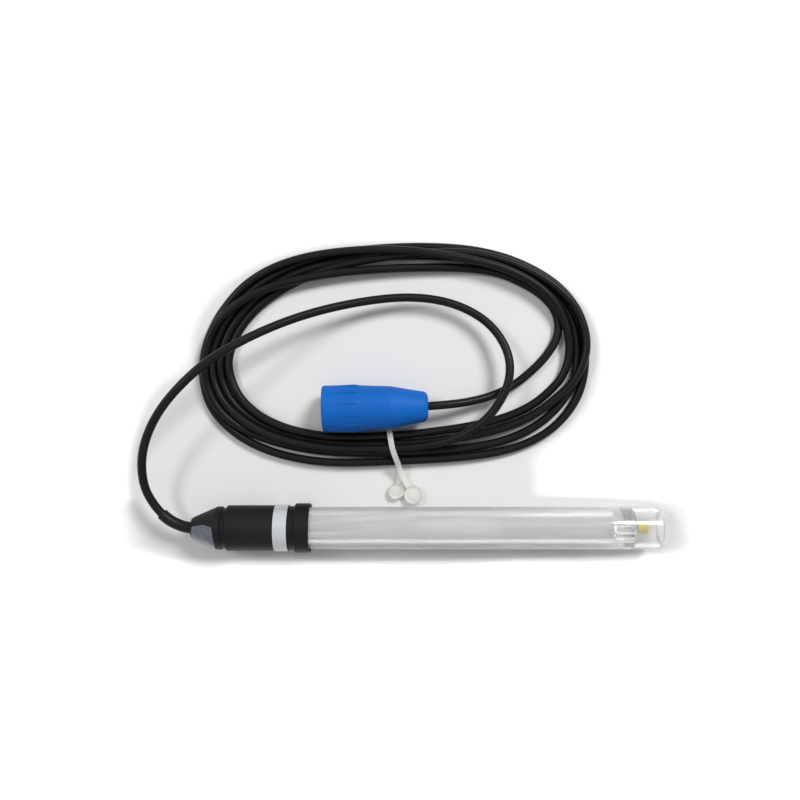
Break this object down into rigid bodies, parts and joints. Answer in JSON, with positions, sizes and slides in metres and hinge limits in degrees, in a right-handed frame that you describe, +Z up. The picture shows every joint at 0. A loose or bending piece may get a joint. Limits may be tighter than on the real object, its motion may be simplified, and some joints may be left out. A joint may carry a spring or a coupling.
{
  "type": "redox electrode",
  "caption": "Redox electrode: clear shaft with a gold sensor in its open tip, black head, and a coiled coaxial lead ended by a bayonet plug in a blue hood.",
  "frame": {"origin": "on the table, below the middle of the electrode from nose face to shaft tip", "axes": "+X along the electrode from its cable end to its tip, +Z up from the table, +Y from the electrode towards the coiled cable"},
  "size_m": [0.1475, 0.0895, 0.0196],
  "materials": {
    "clear_shaft": "clear, polished",
    "clear_stem": "clear",
    "milky_resin": "milky",
    "gel": "clear gel",
    "ceramic_pin": "porous",
    "gold": "gold plated, bright",
    "silver_wire": "bright wire",
    "copper_braid": "tinned braid",
    "silver_chloride": "matt grey coating",
    "black_moulding": "fine matt",
    "sealant": "glossy",
    "silver_band": "pale silver",
    "potting": "cast",
    "core_insulation": "natural",
    "white_insulator": "waxy",
    "gasket_rubber": "matt",
    "nickel": "nickel plated",
    "spring_steel": "bright",
    "blue_hood": "satin",
    "black_jacket": "satin",
    "black_sleeve": "satin",
    "natural_nylon": "natural, slightly translucent"
  },
  "bodies": {
    "electrode": {"shaft_tube": "clear_shaft", "rear_stopper": "clear_shaft", "sensor_stem": "clear_stem", "chamber_plug": "milky_resin", "electrolyte_gel": "gel", "junction_pin": "ceramic_pin", "gold_cap": "gold", "centre_pin": "gold", "signal_wire": "silver_wire", "reference_wire": "silver_wire", "signal_splice": "silver_wire", "reference_splice": "silver_wire", "shield_pigtail": "copper_braid", "plug_braid": "copper_braid", "chloride_element": "silver_chloride", "head_shell": "black_moulding", "gland_nose": "black_moulding", "nose_sealant": "sealant", "label_band": "silver_band", "head_potting": "potting", "cable_core": "core_insulation", "plug_core": "core_insulation", "plug_insulator": "white_insulator", "plug_gasket": "gasket_rubber", "plug_body": "nickel", "snap_ring": "spring_steel", "spring_washer": "spring_steel", "crimp_ferrule": "nickel", "cable_lead": "black_jacket", "cable_coil": "black_jacket", "cable_tail": "black_jacket", "shrink_sleeve": "black_sleeve", "cable_tie": "natural_nylon"},
    "thrust": {"slip_ring": "nickel"},
    "coupling": {"bayonet_nut": "nickel", "coupling_hood": "blue_hood"}
  },
  "joints": [
    {"name": "coupling_float", "type": "slide", "parent": "electrode", "child": "thrust", "axis": [-0.9997, -0.0244, 0], "range_m": [0, 0.0008], "stiffness_N_per_m": 3000, "deforming": ["spring_washer"]},
    {"name": "coupling_turn", "type": "hinge", "parent": "thrust", "child": "coupling", "pos_m": [-0.0153, 0.03424, 0.00692], "axis": [-0.9997, -0.0244, 0], "continuous": true}
  ]
}
